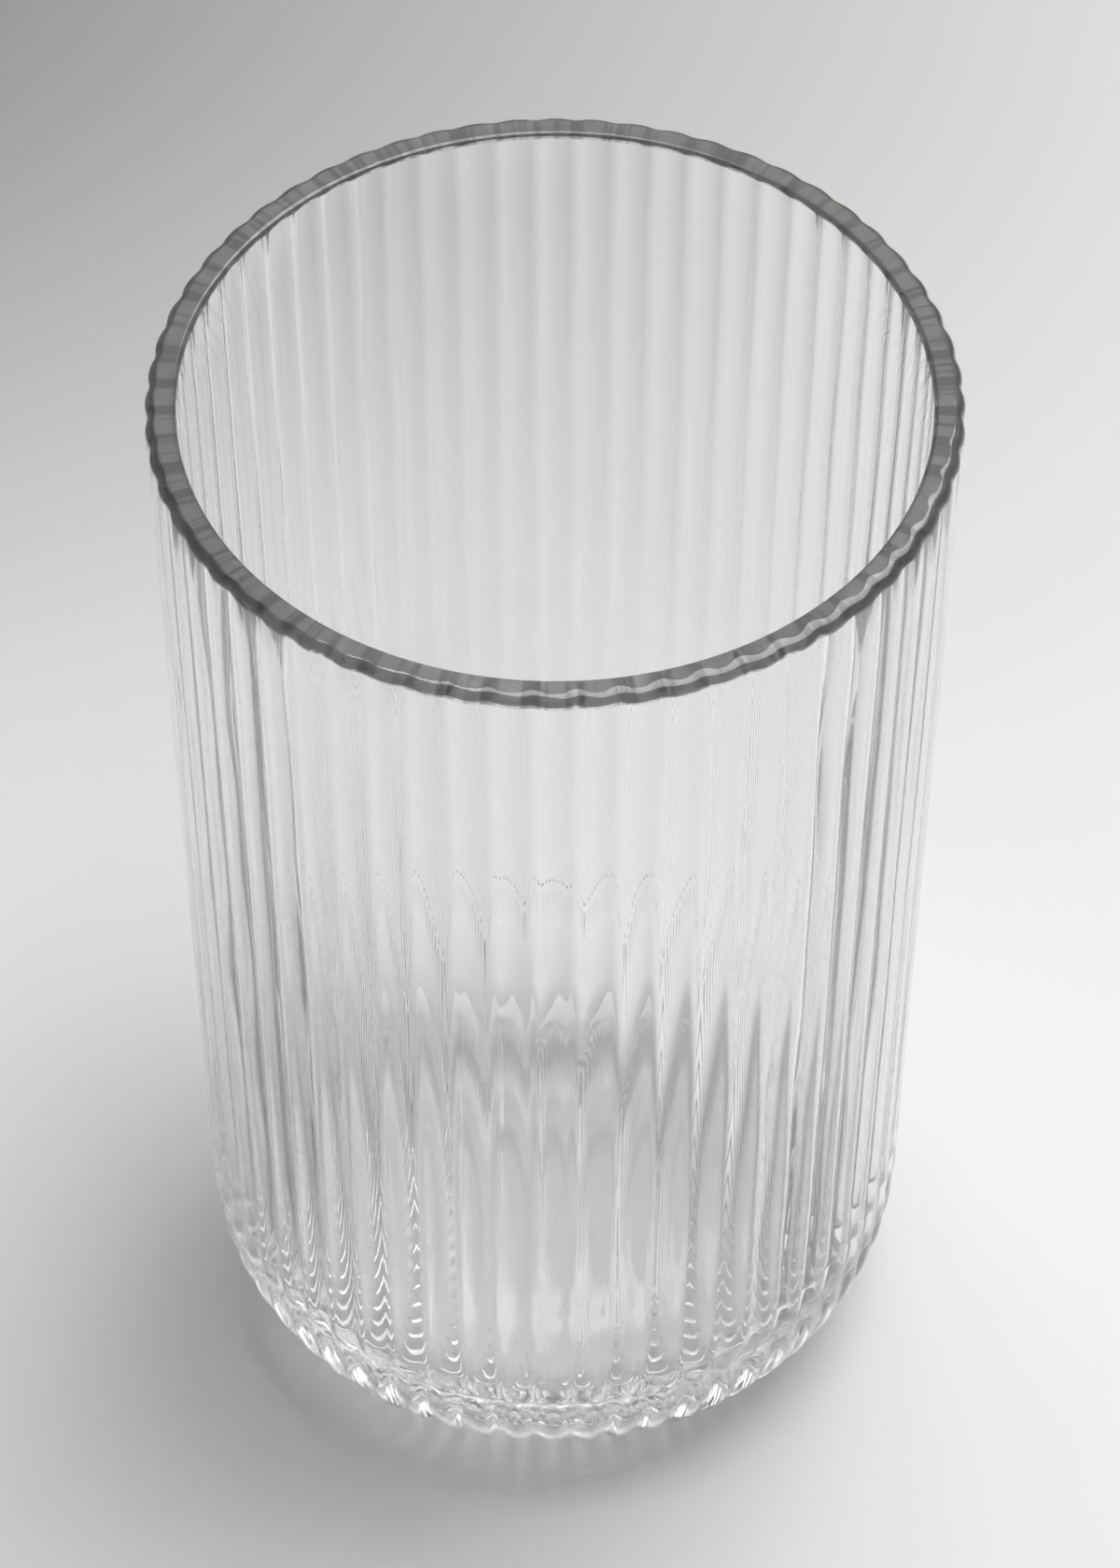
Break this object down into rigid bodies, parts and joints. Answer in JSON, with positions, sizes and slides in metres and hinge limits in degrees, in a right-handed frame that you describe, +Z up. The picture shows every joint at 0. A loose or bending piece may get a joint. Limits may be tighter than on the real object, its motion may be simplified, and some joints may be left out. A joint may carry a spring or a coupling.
{
  "type": "drinking glass",
  "caption": "Tall ribbed clear-glass tumbler with a smooth bore, a rounded fire-polished rim, a thick base and convex ribs that run down the wall and round the heel.",
  "frame": {"origin": "centre of the foot, on the plane that the glass stands on", "axes": "+Z up along the glass's axis, from the foot to the rim; +X through a rib crest"},
  "size_m": [0.075, 0.075, 0.1265],
  "materials": {
    "glass": "fire-polished clear soda-lime glass"
  },
  "bodies": {
    "root": {"tumbler": "glass"}
  },
  "joints": []
}
